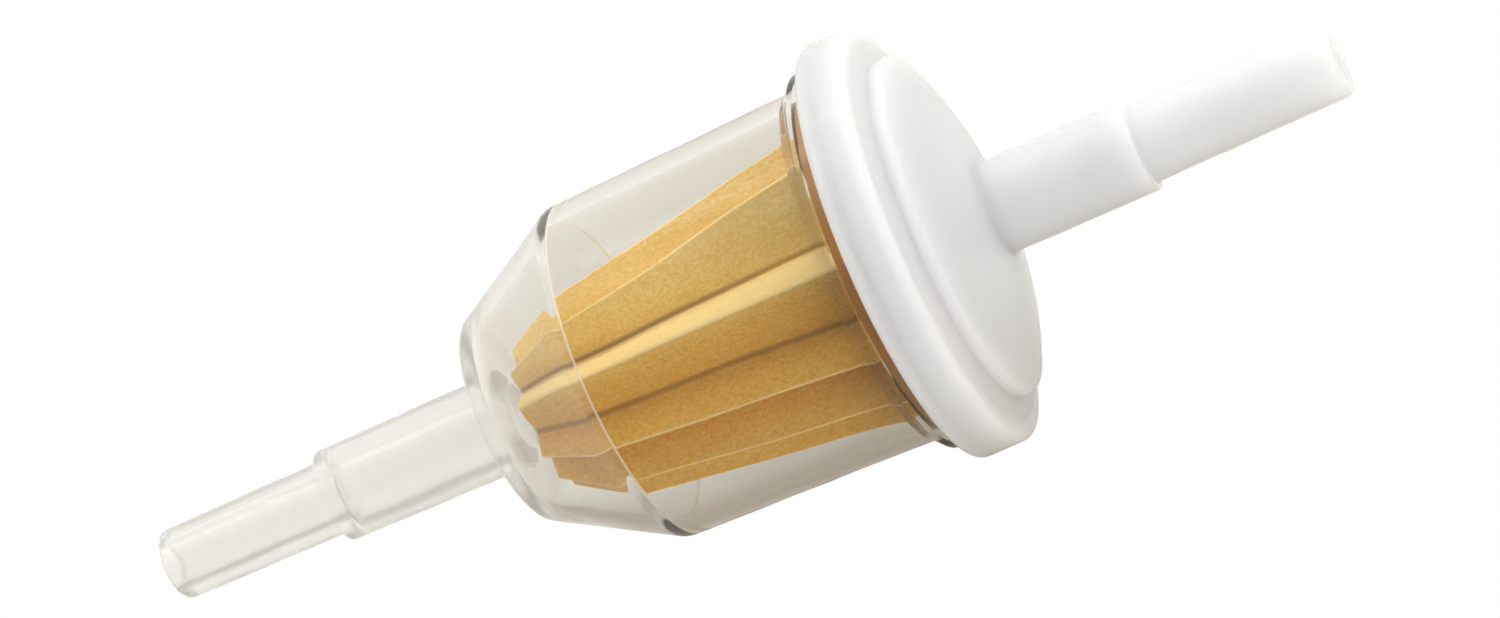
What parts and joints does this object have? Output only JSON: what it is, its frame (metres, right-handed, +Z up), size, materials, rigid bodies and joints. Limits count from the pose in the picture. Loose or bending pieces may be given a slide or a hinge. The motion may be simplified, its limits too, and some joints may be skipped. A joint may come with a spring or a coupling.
{
  "type": "in-line fuel filter",
  "caption": "Sealed in-line fuel filter: a clear bowl over a pleated paper cone, a domed milky cap, and a stepped hose spigot with a through bore at each end.",
  "frame": {"origin": "centre of the bounding box, on the filter's axis half way between the two spigot tips", "axes": "+X along the axis from the bowl's spigot to the cap's spigot, +Z up with the filter's axis level, Y across"},
  "size_m": [0.1094, 0.0372, 0.0372],
  "materials": {
    "clear_plastic": "clear unpigmented moulding, glossy, faintly cloudy",
    "milky_plastic": "milky white moulding, satin with soft highlights",
    "filter_paper": "golden tan resin-treated paper, fibrous, matt",
    "seam_glue": "set adhesive over the paper's lap joint",
    "hot_melt": "cloudy set adhesive",
    "amber_plastic": "translucent brown moulding",
    "weld_plastic": "melted and set clear plastic"
  },
  "bodies": {
    "root": {"bowl": "clear_plastic", "cap": "milky_plastic", "pleated_paper": "filter_paper", "paper_seam": "seam_glue", "end_plug": "hot_melt", "mouth_ring": "amber_plastic", "weld_ring": "weld_plastic"}
  },
  "joints": []
}
